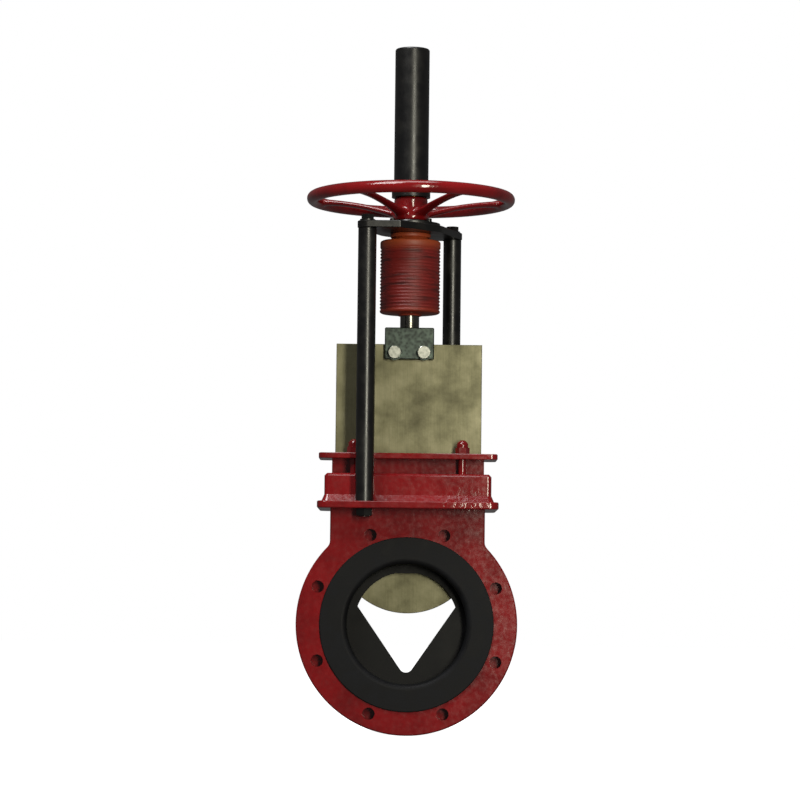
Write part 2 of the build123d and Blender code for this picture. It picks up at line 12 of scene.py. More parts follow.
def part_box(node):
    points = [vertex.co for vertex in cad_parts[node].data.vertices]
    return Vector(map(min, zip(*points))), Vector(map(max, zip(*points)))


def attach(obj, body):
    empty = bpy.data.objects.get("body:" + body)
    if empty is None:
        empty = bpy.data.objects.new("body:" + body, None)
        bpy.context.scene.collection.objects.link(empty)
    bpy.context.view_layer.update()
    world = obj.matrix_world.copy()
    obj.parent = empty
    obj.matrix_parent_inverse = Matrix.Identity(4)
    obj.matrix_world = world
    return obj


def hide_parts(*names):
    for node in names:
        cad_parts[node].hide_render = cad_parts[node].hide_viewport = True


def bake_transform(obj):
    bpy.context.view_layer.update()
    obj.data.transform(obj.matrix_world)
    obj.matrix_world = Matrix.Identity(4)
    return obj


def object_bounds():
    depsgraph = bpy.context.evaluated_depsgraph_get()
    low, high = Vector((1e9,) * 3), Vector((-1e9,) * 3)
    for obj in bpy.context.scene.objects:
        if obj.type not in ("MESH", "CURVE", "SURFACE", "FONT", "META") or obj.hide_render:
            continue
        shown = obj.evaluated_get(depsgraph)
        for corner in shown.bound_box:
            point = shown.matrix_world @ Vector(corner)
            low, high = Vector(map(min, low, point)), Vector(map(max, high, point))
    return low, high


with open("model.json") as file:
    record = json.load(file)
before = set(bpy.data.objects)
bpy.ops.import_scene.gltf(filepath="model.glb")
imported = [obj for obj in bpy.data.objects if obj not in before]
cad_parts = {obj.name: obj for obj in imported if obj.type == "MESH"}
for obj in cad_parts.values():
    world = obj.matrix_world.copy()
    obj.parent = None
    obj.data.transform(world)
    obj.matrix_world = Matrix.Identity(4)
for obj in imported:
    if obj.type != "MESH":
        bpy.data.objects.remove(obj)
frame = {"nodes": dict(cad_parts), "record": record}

MM = 0.001
TURN = 2 * math.pi
LOG = logging.getLogger("knife_gate_valve")
CAD_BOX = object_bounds()

FRAME_BODY = "valve_frame"
WHEEL_BODY = "turning_wheel"


# ---------------------------------------------------------------- finishes


def linear(hex_colour: str) -> tuple[float, float, float, float]:
    """Turn an sRGB colour into the linear one that shaders read.

    Args:
        hex_colour: six hexadecimal digits, red first.

    Returns:
        Red, green, blue and an alpha of one.
    """
    channels = [int(hex_colour[i:i + 2], 16) / 255 for i in (0, 2, 4)]
    flat = [c / 12.92 if c <= 0.04045 else ((c + 0.055) / 1.055) ** 2.4 for c in channels]
    return flat[0], flat[1], flat[2], 1.0


def per_metre(size_mm: float) -> float:
    """Noise scale whose features are about this many millimetres across."""
    return 1 / (size_mm * MM)


def add_node(
    tree: bpy.types.NodeTree,
    kind: str,
    settings: dict[str, object] | None = None,
    values: dict[str | int, object] | None = None,
    links: dict[str | int, bpy.types.NodeSocket] | None = None,
    stops: list[tuple[float, tuple[float, float, float, float]]] | None = None,
) -> bpy.types.Node:
    """Add a node with its settings, its constant inputs, its links and its colour stops.

    Args:
        tree: the node tree to add to.
        kind: the node's type name.
        settings: attributes of the node itself.
        values: constants for its inputs, by name or index.
        links: sockets that feed its inputs, by name or index.
        stops: positions and linear colours of a colour ramp, in order.

    Returns:
        The new node.
    """
    node = tree.nodes.new(kind)
    for name, value in (settings or {}).items():
        setattr(node, name, value)
    for name, value in (values or {}).items():
        node.inputs[name].default_value = value
    for name, socket in (links or {}).items():
        tree.links.new(socket, node.inputs[name])
    for index, (position, colour) in enumerate(stops or []):
        bands = node.color_ramp.elements
        band = bands[index] if index < len(bands) else bands.new(position)
        band.position = position
        band.color = colour
    return node


def grey(level: float) -> tuple[float, float, float, float]:
    """A neutral linear colour."""
    return level, level, level, 1.0


@dataclass(frozen=True)
class Finish:
    """What every finish shares: a name, a shader and its object coordinates."""

    name: str

    def begin(self) -> tuple[bpy.types.Material, bpy.types.NodeTree, bpy.types.Node, bpy.types.NodeSocket]:
        """Make an empty material.

        Returns:
            The material, its tree, its principled shader and the object coordinates.
        """
        material = bpy.data.materials.new(self.name)
        material.use_nodes = True
        tree = material.node_tree
        shader = tree.nodes["Principled BSDF"]
        coords = add_node(tree, "ShaderNodeTexCoord").outputs["Object"]
        return material, tree, shader, coords


@dataclass(frozen=True)
class EnamelOnCasting(Finish):
    """Alkyd enamel, brushed thick over sand-cast ductile iron.

    The eye gets a deep red with a wet gloss, the soft lumps of the sand mould
    under it, orange peel in the paint film, and small sags that glint.
    """

    colour: str = "740D10"
    shadow: str = "5C090C"
    worn: str = "7E1216"
    cloud_mm: float = 60.0
    grain_mm: float = 7.0
    peel_mm: float = 2.2
    sag_mm: float = 16.0
    drip_mm: float = 9.0
    grain_depth_mm: float = 0.05
    peel_depth_mm: float = 0.02
    sag_depth_mm: float = 0.12
    drip_depth_mm: float = 1.6
    drip_place_mm: tuple[float, float, float] = (88.0, -92.0, 196.0)
    drip_reach_mm: tuple[float, float, float] = (62.0, 70.0, 34.0)
    drip_squash: tuple[float, float, float] = (1.0, 1.0, 0.45)
    roughness: float = 0.15
    smoothest: float = 0.04
    roughest: float = 0.06
    coat: float = 0.15
    coat_roughness: float = 0.10

    def material(self) -> bpy.types.Material:
        """Build the enamel.

        Returns:
            The material.
        """
        material, tree, shader, coords = self.begin()
        cloud = add_node(
            tree, "ShaderNodeTexNoise",
            values={"Scale": per_metre(self.cloud_mm), "Detail": 5.0, "Roughness": 0.6},
            links={"Vector": coords})
        shades = [(0.30, linear(self.shadow)), (0.52, linear(self.colour)), (0.74, linear(self.worn))]
        colour = add_node(
            tree, "ShaderNodeValToRGB", links={0: cloud.outputs[0]}, stops=shades).outputs[0]
        tree.links.new(colour, shader.inputs["Base Color"])
        grain = add_node(
            tree, "ShaderNodeTexNoise", values={"Scale": per_metre(self.grain_mm), "Detail": 3.0},
            links={"Vector": coords})
        peel = add_node(
            tree, "ShaderNodeTexNoise", values={"Scale": per_metre(self.peel_mm), "Detail": 1.0},
            links={"Vector": coords})
        sag = add_node(
            tree, "ShaderNodeTexNoise",
            values={"Scale": per_metre(self.sag_mm), "Detail": 2.0, "Distortion": 1.2},
            links={"Vector": coords})
        low = add_node(
            tree, "ShaderNodeBump", values={"Strength": 1.0, "Distance": self.sag_depth_mm * MM},
            links={"Height": sag.outputs[0]})
        middle = add_node(
            tree, "ShaderNodeBump", values={"Strength": 1.0, "Distance": self.grain_depth_mm * MM},
            links={"Height": grain.outputs[0], "Normal": low.outputs[0]})
        thick = add_node(
            tree, "ShaderNodeMapping", settings={"vector_type": "TEXTURE"},
            values={
                "Location": tuple(Vector(self.drip_place_mm) * MM),
                "Scale": tuple(Vector(self.drip_reach_mm) * MM)},
            links={"Vector": coords})
        patch = add_node(
            tree, "ShaderNodeTexGradient", settings={"gradient_type": "SPHERICAL"},
            links={"Vector": thick.outputs[0]})
        drawn = add_node(
            tree, "ShaderNodeMapping", values={"Scale": self.drip_squash}, links={"Vector": coords})
        drip = add_node(
            tree, "ShaderNodeTexNoise",
            values={"Scale": per_metre(self.drip_mm), "Detail": 3.0, "Distortion": 0.8},
            links={"Vector": drawn.outputs[0]})
        lumps = add_node(
            tree, "ShaderNodeMath", settings={"operation": "MULTIPLY"},
            links={0: drip.outputs[0], 1: patch.outputs["Fac"]})
        runs = add_node(
            tree, "ShaderNodeBump", values={"Strength": 1.0, "Distance": self.drip_depth_mm * MM},
            links={"Height": lumps.outputs[0], "Normal": middle.outputs[0]})
        high = add_node(
            tree, "ShaderNodeBump", values={"Strength": 1.0, "Distance": self.peel_depth_mm * MM},
            links={"Height": peel.outputs[0], "Normal": runs.outputs[0]})
        tree.links.new(high.outputs[0], shader.inputs["Normal"])
        gloss = [
            (0.3, grey(self.roughness - self.smoothest)), (0.7, grey(self.roughness + self.roughest))]
        wear = add_node(
            tree, "ShaderNodeValToRGB", links={0: grain.outputs[0]}, stops=gloss).outputs[0]
        tree.links.new(wear, shader.inputs["Roughness"])
        shader.inputs["Coat Weight"].default_value = self.coat
        shader.inputs["Coat Roughness"].default_value = self.coat_roughness
        return material


@dataclass(frozen=True)
class EnamelOnSteel(Finish):
    """Black stoving enamel on turned or sheared mild steel.

    The eye gets a near black with long clean highlights, faint turning marks
    and a little dust that dulls the gloss in patches.
    """

    colour: str = "0B0B0C"
    dust: str = "171614"
    dust_mm: float = 25.0
    peel_mm: float = 1.6
    peel_depth_mm: float = 0.012
    roughness: float = 0.28
    dusty: float = 0.16

    def material(self) -> bpy.types.Material:
        """Build the enamel.

        Returns:
            The material.
        """
        material, tree, shader, coords = self.begin()
        dust = add_node(
            tree, "ShaderNodeTexNoise",
            values={"Scale": per_metre(self.dust_mm), "Detail": 6.0, "Roughness": 0.65},
            links={"Vector": coords})
        colour = add_node(
            tree, "ShaderNodeValToRGB", links={0: dust.outputs[0]},
            stops=[(0.45, linear(self.colour)), (0.75, linear(self.dust))]).outputs[0]
        tree.links.new(colour, shader.inputs["Base Color"])
        gloss = add_node(
            tree, "ShaderNodeValToRGB", links={0: dust.outputs[0]},
            stops=[(0.35, grey(self.roughness)), (0.75, grey(self.roughness + self.dusty))]).outputs[0]
        tree.links.new(gloss, shader.inputs["Roughness"])
        peel = add_node(
            tree, "ShaderNodeTexNoise", values={"Scale": per_metre(self.peel_mm), "Detail": 2.0},
            links={"Vector": coords})
        bump = add_node(
            tree, "ShaderNodeBump", values={"Strength": 1.0, "Distance": self.peel_depth_mm * MM},
            links={"Height": peel.outputs[0]})
        tree.links.new(bump.outputs[0], shader.inputs["Normal"])
        return material


@dataclass(frozen=True)
class MouldedElastomer(Finish):
    """Compression-moulded black rubber with a fine mould skin.

    The eye gets a soft dark grey with no sharp glint, a fine leather grain
    and pale bloom in clouds.
    """

    colour: str = "0E0E10"
    bloom: str = "17181B"
    roughness: float = 0.60
    grain_mm: float = 1.1
    grain_depth_mm: float = 0.05
    sheen: float = 0.12
    bloom_mm: float = 35.0

    def material(self) -> bpy.types.Material:
        """Build the rubber.

        Returns:
            The material.
        """
        material, tree, shader, coords = self.begin()
        bloom = add_node(
            tree, "ShaderNodeTexNoise",
            values={"Scale": per_metre(self.bloom_mm), "Detail": 6.0, "Roughness": 0.6},
            links={"Vector": coords})
        colour = add_node(
            tree, "ShaderNodeValToRGB", links={0: bloom.outputs[0]},
            stops=[(0.42, linear(self.colour)), (0.72, linear(self.bloom))]).outputs[0]
        tree.links.new(colour, shader.inputs["Base Color"])
        grain = add_node(
            tree, "ShaderNodeTexVoronoi", values={"Scale": per_metre(self.grain_mm)},
            links={"Vector": coords})
        bump = add_node(
            tree, "ShaderNodeBump", values={"Strength": 0.6, "Distance": self.grain_depth_mm * MM},
            links={"Height": grain.outputs["Distance"]})
        tree.links.new(bump.outputs[0], shader.inputs["Normal"])
        skin = [(0.35, grey(self.roughness - 0.08)), (0.75, grey(self.roughness + 0.12))]
        rough = add_node(
            tree, "ShaderNodeValToRGB", links={0: bloom.outputs[0]}, stops=skin).outputs[0]
        tree.links.new(rough, shader.inputs["Roughness"])
        shader.inputs["Specular IOR Level"].default_value = self.sheen
        return material


@dataclass(frozen=True)
class StainlessPlate(Finish):
    """Hot-rolled, pickled stainless plate that has been in service.

    The eye gets a grey-olive metal with straight rolling and sliding marks
    up the plate, cloudy brown water stains and darker drips.
    """

    clean: str = "625F46"
    stain: str = "4B4831"
    pale: str = "736F57"
    cloud_mm: float = 48.0
    mark_mm: float = 1.4
    mark_stretch: tuple[float, float, float] = (1.0, 1.0, 0.03)
    mark_depth_mm: float = 0.03
    mark_share: float = 0.45
    roughness: float = 0.44
    metallic: float = 0.6

    def material(self) -> bpy.types.Material:
        """Build the plate.

        Returns:
            The material.
        """
        material, tree, shader, coords = self.begin()
        cloud = add_node(
            tree, "ShaderNodeTexNoise",
            values={"Scale": per_metre(self.cloud_mm), "Detail": 8.0, "Roughness": 0.62},
            links={"Vector": coords})
        shades = [(0.28, linear(self.stain)), (0.50, linear(self.clean)), (0.72, linear(self.pale))]
        mottled = add_node(
            tree, "ShaderNodeValToRGB", links={0: cloud.outputs[0]}, stops=shades).outputs[0]
        drawn = add_node(
            tree, "ShaderNodeMapping", values={"Scale": self.mark_stretch}, links={"Vector": coords})
        marks = add_node(
            tree, "ShaderNodeTexNoise", values={"Scale": per_metre(self.mark_mm), "Detail": 4.0},
            links={"Vector": drawn.outputs[0]})
        streak = add_node(
            tree, "ShaderNodeValToRGB", links={0: marks.outputs[0]},
            stops=[(0.30, grey(0.72)), (0.62, grey(1.0))]).outputs[0]
        colour = add_node(
            tree, "ShaderNodeMix", settings={"data_type": "RGBA", "blend_type": "MULTIPLY"},
            values={0: self.mark_share}, links={6: mottled, 7: streak})
        tree.links.new(colour.outputs[2], shader.inputs["Base Color"])
        rough = add_node(
            tree, "ShaderNodeValToRGB", links={0: cloud.outputs[0]},
            stops=[(0.3, grey(self.roughness + 0.12)), (0.7, grey(self.roughness - 0.06))]).outputs[0]
        tree.links.new(rough, shader.inputs["Roughness"])
        bump = add_node(
            tree, "ShaderNodeBump", values={"Strength": 0.5, "Distance": self.mark_depth_mm * MM},
            links={"Height": marks.outputs[0]})
        tree.links.new(bump.outputs[0], shader.inputs["Normal"])
        shader.inputs["Metallic"].default_value = self.metallic
        return material


@dataclass(frozen=True)
class BareMetal(Finish):
    """A metal with no paint: zinc-plated, ground or cast.

    The eye gets the metal's own colour, broken by mottling at the size of
    its crystals and by fine marks that run along one axis.
    """

    colour: str = "9AA09E"
    dark: str = "6C7472"
    mottle_mm: float = 6.0
    mark_mm: float = 0.9
    mark_stretch: tuple[float, float, float] = (1.0, 1.0, 1.0)
    mark_depth_mm: float = 0.02
    roughness: float = 0.30
    metallic: float = 1.0

    def material(self) -> bpy.types.Material:
        """Build the metal.

        Returns:
            The material.
        """
        material, tree, shader, coords = self.begin()
        mottle = add_node(
            tree, "ShaderNodeTexVoronoi", settings={"feature": "SMOOTH_F1"},
            values={"Scale": per_metre(self.mottle_mm)}, links={"Vector": coords})
        cloud = add_node(
            tree, "ShaderNodeTexNoise", values={"Scale": per_metre(self.mottle_mm * 2), "Detail": 5.0},
            links={"Vector": coords})
        both = add_node(
            tree, "ShaderNodeMath", settings={"operation": "MULTIPLY"},
            links={0: mottle.outputs["Distance"], 1: cloud.outputs[0]})
        colour = add_node(
            tree, "ShaderNodeValToRGB", links={0: both.outputs[0]},
            stops=[(0.08, linear(self.dark)), (0.32, linear(self.colour))]).outputs[0]
        tree.links.new(colour, shader.inputs["Base Color"])
        drawn = add_node(
            tree, "ShaderNodeMapping", values={"Scale": self.mark_stretch}, links={"Vector": coords})
        marks = add_node(
            tree, "ShaderNodeTexNoise", values={"Scale": per_metre(self.mark_mm), "Detail": 3.0},
            links={"Vector": drawn.outputs[0]})
        bump = add_node(
            tree, "ShaderNodeBump", values={"Strength": 1.0, "Distance": self.mark_depth_mm * MM},
            links={"Height": marks.outputs[0]})
        tree.links.new(bump.outputs[0], shader.inputs["Normal"])
        rough = add_node(
            tree, "ShaderNodeValToRGB", links={0: cloud.outputs[0]},
            stops=[(0.3, grey(self.roughness + 0.10)), (0.7, grey(self.roughness))]).outputs[0]
        tree.links.new(rough, shader.inputs["Roughness"])
        shader.inputs["Metallic"].default_value = self.metallic
        return material


@dataclass(frozen=True)
class BraidedYarn(Finish):
    """Square braided packing soaked in lubricant.

    The eye gets crossed strands with dark grease between them.
    """

    strand: str = "8C8062"
    grease: str = "3A3426"
    strand_mm: float = 2.4
    strand_lean_deg: float = 45.0
    strand_depth_mm: float = 0.4
    roughness: float = 0.7

    def material(self) -> bpy.types.Material:
        """Build the braid.

        Returns:
            The material.
        """
        material, tree, shader, coords = self.begin()
        heights = []
        for lean in (self.strand_lean_deg, -self.strand_lean_deg):
            turned = add_node(
                tree, "ShaderNodeMapping", values={"Rotation": (0.0, math.radians(lean), 0.0)},
                links={"Vector": coords})
            wave = add_node(
                tree, "ShaderNodeTexWave", values={"Scale": per_metre(self.strand_mm) / TURN},
                links={"Vector": turned.outputs[0]})
            heights.append(wave.outputs["Fac"])
        braid = add_node(
            tree, "ShaderNodeMath", settings={"operation": "MAXIMUM"}, links={0: heights[0], 1: heights[1]})
        colour = add_node(
            tree, "ShaderNodeValToRGB", links={0: braid.outputs[0]},
            stops=[(0.25, linear(self.grease)), (0.8, linear(self.strand))]).outputs[0]
        tree.links.new(colour, shader.inputs["Base Color"])
        bump = add_node(
            tree, "ShaderNodeBump", values={"Strength": 1.0, "Distance": self.strand_depth_mm * MM},
            links={"Height": braid.outputs[0]})
        tree.links.new(bump.outputs[0], shader.inputs["Normal"])
        shader.inputs["Roughness"].default_value = self.roughness
        return material


@dataclass(frozen=True)
class BootRubber(Finish):
    """Dipped red neoprene, matt with a waxy skin.

    The eye gets a brick red with dust in the folds, painted light as an orange lit
    band from the shoulder up over the neck and collar, and a weaker orange round the heel.
    """

    colour: str = "6E1612"
    # orange of the painted lit band over shoulder, neck and collar, also mixed in weaker round the heel
    crest: str = "9C421C"
    fold: str = "40100E"
    roughness: float = 0.52
    cloud_mm: float = 40.0
    cloud_squash: tuple[float, float, float] = (1.0, 1.0, 6.0)
    skin_mm: float = 1.5
    skin_depth_mm: float = 0.05
    band_low_mm: float = 588.0
    band_high_mm: float = 603.0
    heel_mm: float = 492.0
    heel_fade_mm: float = 10.0
    heel_end_mm: float = 16.0
    band_fade_mm: float = 6.0
    heel_orange: float = 0.45
    band_orange: float = 0.85

    def material(self) -> bpy.types.Material:
        """Build the rubber.

        Returns:
            The material.
        """
        material, tree, shader, coords = self.begin()
        flat = add_node(
            tree, "ShaderNodeMapping", values={"Scale": self.cloud_squash}, links={"Vector": coords})
        cloud = add_node(
            tree, "ShaderNodeTexNoise", values={"Scale": per_metre(self.cloud_mm), "Detail": 5.0},
            links={"Vector": flat.outputs[0]})
        dusty = add_node(
            tree, "ShaderNodeValToRGB", links={0: cloud.outputs[0]},
            stops=[(0.30, linear(self.fold)), (0.52, linear(self.colour))])
        axes = add_node(tree, "ShaderNodeSeparateXYZ", links={0: coords})
        foot = self.heel_mm - self.heel_fade_mm
        span = self.band_high_mm - foot
        band_start = self.band_low_mm - self.heel_mm + self.band_fade_mm
        height = add_node(
            tree, "ShaderNodeMapRange",
            values={"From Min": foot * MM, "From Max": self.band_high_mm * MM},
            links={"Value": axes.outputs["Z"]})
        # painted light: an orange lit band from the shoulder up over the neck and collar; a weaker orange
        # round the heel
        thin = add_node(
            tree, "ShaderNodeValToRGB", links={0: height.outputs[0]},
            stops=[
                (0.0, grey(self.heel_orange)), (self.heel_end_mm / span, grey(0.0)),
                (band_start / span, grey(0.0)), (0.97, grey(self.band_orange))])
        colour = add_node(
            tree, "ShaderNodeMix", settings={"data_type": "RGBA"},
            values={7: linear(self.crest)}, links={0: thin.outputs[0], 6: dusty.outputs[0]})
        tree.links.new(colour.outputs[2], shader.inputs["Base Color"])
        skin = add_node(
            tree, "ShaderNodeTexNoise", values={"Scale": per_metre(self.skin_mm), "Detail": 3.0},
            links={"Vector": coords})
        bump = add_node(
            tree, "ShaderNodeBump", values={"Strength": 1.0, "Distance": self.skin_depth_mm * MM},
            links={"Height": skin.outputs[0]})
        tree.links.new(bump.outputs[0], shader.inputs["Normal"])
        shader.inputs["Roughness"].default_value = self.roughness
        return material


class Slot(Enum):
    """The record's material slots, each with its finish."""

    RED_ENAMEL = "red_enamel"
    BLACK_ENAMEL = "black_enamel"
    BLACK_ELASTOMER = "black_elastomer"
    BLACK_LINER = "black_liner"
    STAINLESS_PLATE = "stainless_plate"
    ZINC_STEEL = "zinc_steel"
    STEM_STEEL = "stem_steel"
    BEARING_STEEL = "bearing_steel"
    BRONZE = "bronze"
    BRAIDED_PACKING = "braided_packing"
    RED_RUBBER = "red_rubber"


FINISHES: dict[Slot, Finish] = {
    Slot.RED_ENAMEL: EnamelOnCasting("red enamel on ductile iron"),
    Slot.BLACK_ENAMEL: EnamelOnSteel("black stoving enamel on mild steel"),
    Slot.BLACK_ELASTOMER: MouldedElastomer("moulded natural rubber"),
    Slot.BLACK_LINER: MouldedElastomer(
        "cast black polyurethane", colour="0B0B0C", bloom="121213", roughness=0.50, grain_mm=2.5,
        grain_depth_mm=0.03),
    Slot.STAINLESS_PLATE: StainlessPlate("pickled stainless plate"),
    Slot.ZINC_STEEL: BareMetal(
        "dull zinc on flame-cut steel", colour="3C4740", dark="1E2521", mottle_mm=5.0, mark_mm=0.9,
        mark_depth_mm=0.04, roughness=0.34, metallic=0.6),
    Slot.STEM_STEEL: BareMetal(
        "ground stainless bar", colour="7C7A73", dark="5E5C56", mottle_mm=12.0, mark_mm=0.5,
        mark_stretch=(1.0, 1.0, 6.0), mark_depth_mm=0.008, roughness=0.16),
    Slot.BEARING_STEEL: BareMetal(
        "lapped bearing steel", colour="A8A9AA", dark="85878A", mottle_mm=9.0, mark_mm=0.5,
        mark_depth_mm=0.006, roughness=0.25),
    Slot.BRONZE: BareMetal(
        "turned gunmetal", colour="A97C3F", dark="8A6330", mottle_mm=7.0, mark_mm=0.6,
        mark_stretch=(1.0, 1.0, 8.0), mark_depth_mm=0.01, roughness=0.30),
    Slot.BRAIDED_PACKING: BraidedYarn("braided packing"),
    Slot.RED_RUBBER: BootRubber("dipped red neoprene"),
}
# painted highlight: a brighter copy of the dull zinc, so the bolt ends show as bright glints
BRIGHT_ZINC = BareMetal(
    "bright zinc on bolt steel", colour="9A9B94", dark="7A7C76", mottle_mm=4.0, mark_mm=0.6,
    mark_depth_mm=0.01, roughness=0.28)


# ---------------------------------------------------------------- mesh helpers


def new_object(name: str, shape: bmesh.types.BMesh, material: bpy.types.Material) -> bpy.types.Object:
    """Turn a finished bmesh into an object at the origin.

    Args:
        name: the object's name.
        shape: its mesh, in metres; it is freed.
        material: its finish.

    Returns:
        The object.
    """
    for face in shape.faces:
        face.smooth = True
    mesh = bpy.data.meshes.new(name)
    shape.to_mesh(mesh)
    shape.free()
    mesh.materials.append(material)
    piece = bpy.data.objects.new(name, mesh)
    bpy.context.scene.collection.objects.link(piece)
    return piece


def turned(profile_mm: list[tuple[float, float]], steps: int, closed: bool) -> bmesh.types.BMesh:
    """Spin a profile of radius and height round the stem.

    Args:
        profile_mm: the points of the profile, as (radius, height).
        steps: faces round the turn.
        closed: whether the last point joins the first.

    Returns:
        The turned mesh, with its doubles merged and its normals outward.
    """
    shape = bmesh.new()
    points = [shape.verts.new((radius * MM, 0, height * MM)) for radius, height in profile_mm]
    pairs = list(zip(points, points[1:]))
    if closed:
        pairs.append((points[-1], points[0]))
    edges = [shape.edges.new(pair) for pair in pairs]
    bmesh.ops.spin(
        shape, geom=points + edges, axis=(0, 0, 1), cent=(0, 0, 0), angle=TURN, steps=steps, use_merge=True)
    bmesh.ops.remove_doubles(shape, verts=shape.verts, dist=0.001 * MM)
    bmesh.ops.recalc_face_normals(shape, faces=shape.faces)
    return shape


def baked(piece: bpy.types.Object) -> bmesh.types.BMesh:
    """The mesh of an object with its modifiers applied.

    Args:
        piece: the object.

    Returns:
        A new bmesh of the result.
    """
    graph = bpy.context.evaluated_depsgraph_get()
    shape = bmesh.new()
    shape.from_object(piece, graph)
    return shape


# ---------------------------------------------------------------- the studio


@dataclass(frozen=True)
class SoftBox:
    """A rectangular lamp that faces the middle of the object."""

    name: str
    place_mm: tuple[float, float, float]
    width_mm: float
    height_mm: float
    watts: float
    colour: str = "FFFFFF"

    def hang(self) -> bpy.types.Object:
        """Hang the lamp.

        Returns:
            The light.
        """
        data = bpy.data.lights.new(self.name, "AREA")
        data.shape = "RECTANGLE"
        data.size = self.width_mm * MM
        data.size_y = self.height_mm * MM
        data.energy = self.watts
        data.color = linear(self.colour)[:3]
        light = bpy.data.objects.new(self.name, data)
        bpy.context.scene.collection.objects.link(light)
        light.location = Vector(self.place_mm) * MM
        aim = (CAD_BOX[0] + CAD_BOX[1]) / 2 - light.location
        light.rotation_euler = aim.to_track_quat("-Z", "Y").to_euler()
        return light


@dataclass
class Studio:
    """Camera, floor, soft lights and a pale surround."""

    lens_mm: float = 133.07
    sensor_mm: float = 36.0
    camera_x_mm: float = -13.8
    camera_y_mm: float = -4641.0
    camera_z_mm: float = 37.7
    pitch_deg: float = 3.87
    roll_deg: float = 0.65
    lamps: tuple[SoftBox, ...] = (
        SoftBox("key_box", (700, -2600, 480), 300, 1650, 58, "FAF6E2"),
        SoftBox("fill_box", (-1500, -2200, 3800), 1800, 1800, 140),
        SoftBox("top_box", (0, -600, 3400), 1600, 1600, 35))
    floor_half_mm: float = 9000.0
    floor_gap_mm: float = 0.2
    floor_glow: float = 1.0
    floor_grey: float = 0.8
    floor_roughness: float = 0.9
    sight_m: float = 100.0
    surround_glow: float = 0.10

    def camera(self) -> bpy.types.Object:
        """Set up the camera.

        Returns:
            The camera.
        """
        data = bpy.data.cameras.new("camera")
        data.lens = self.lens_mm
        data.sensor_width = self.sensor_mm
        data.clip_end = self.sight_m
        camera = bpy.data.objects.new("camera", data)
        bpy.context.scene.collection.objects.link(camera)
        camera.location = Vector((self.camera_x_mm, self.camera_y_mm, self.camera_z_mm)) * MM
        tilt = Matrix.Rotation(math.radians(90 + self.pitch_deg), 4, "X")
        roll = Matrix.Rotation(math.radians(self.roll_deg), 4, "Z")
        camera.rotation_euler = (tilt @ roll).to_euler()
        bpy.context.scene.camera = camera
        return camera

    def floor(self) -> bpy.types.Object:
        """Lay the pale floor just under the lowest point.

        Returns:
            The floor.
        """
        shape = bmesh.new()
        bmesh.ops.create_grid(shape, x_segments=1, y_segments=1, size=self.floor_half_mm * MM)
        height = CAD_BOX[0].z - self.floor_gap_mm * MM
        bmesh.ops.translate(shape, verts=shape.verts, vec=(0, 0, height))
        material = bpy.data.materials.new("studio paper")
        material.use_nodes = True
        shader = material.node_tree.nodes["Principled BSDF"]
        shader.inputs["Base Color"].default_value = grey(self.floor_grey)
        shader.inputs["Roughness"].default_value = self.floor_roughness
        shader.inputs["Emission Color"].default_value = grey(1.0)
        shader.inputs["Emission Strength"].default_value = self.floor_glow
        floor = new_object("studio_floor", shape, material)
        floor.visible_diffuse = False
        floor.visible_glossy = False
        return floor

    def surround(self) -> None:
        """Fill the surround: dim for light and gloss, white behind the object."""
        world = bpy.data.worlds.new("studio surround")
        bpy.context.scene.world = world
        world.use_nodes = True
        tree = world.node_tree
        dim = tree.nodes["Background"]
        dim.inputs["Color"].default_value = grey(1.0)
        dim.inputs["Strength"].default_value = self.surround_glow
        white = add_node(tree, "ShaderNodeBackground", values={"Color": grey(1.0), "Strength": 1.0})
        rays = add_node(tree, "ShaderNodeLightPath")
        both = add_node(
            tree, "ShaderNodeMixShader",
            links={0: rays.outputs["Is Camera Ray"], 1: dim.outputs[0], 2: white.outputs[0]})
        tree.links.new(both.outputs[0], tree.nodes["World Output"].inputs["Surface"])

    def build(self) -> None:
        """Set up the whole studio."""
        self.camera()
        self.floor()
        self.surround()
        for lamp in self.lamps:
            lamp.hang()
        bpy.context.scene.view_settings.view_transform = "Standard"
        LOG.info("studio ready")


# ---------------------------------------------------------------- the valve


@dataclass
class SubAssembly:
    """A group of nodes of the frame that share a place on the valve."""

    nodes: tuple[str, ...]

    def dress(self, materials: dict[Slot, bpy.types.Material]) -> None:
        """Give every node its slot's finish.

        Args:
            materials: one material per slot.
        """
        slots = {entry["node"]: entry["material_slot"] for entry in frame["record"]["subparts"]}
        for name in self.nodes:
            node = frame["nodes"][name]
            node.data.materials.clear()
            node.data.materials.append(materials[Slot(slots[name])])
            LOG.info("dressed %s as %s", name, slots[name])


@dataclass
class PressureBody(SubAssembly):
    """The casting with its sleeves, seats, packing and gland."""

    nodes: tuple[str, ...] = (
        "body", "front_sleeve", "rear_sleeve", "v_orifice", "rear_seat", "packing_lower", "packing_middle",
        "packing_upper", "gland_follower", "gland_studs", "gland_nuts")


@dataclass
class SlidingGate(SubAssembly):
    """The gate blade with its clevis, bolts and stem."""

    nodes: tuple[str, ...] = ("gate", "clevis", "clevis_bolts", "clevis_washers", "clevis_nuts", "stem")

    def dress(self, materials: dict[Slot, bpy.types.Material]) -> None:
        """Dress the nodes, with the bolts in a brighter copy of the zinc: a painted highlight for the glints
        on their ends.

        Args:
            materials: one material per slot.
        """
        super().dress(materials)
        # painted highlight: the bolts take the brighter copy of the zinc
        frame["nodes"]["clevis_bolts"].data.materials[0] = BRIGHT_ZINC.material()


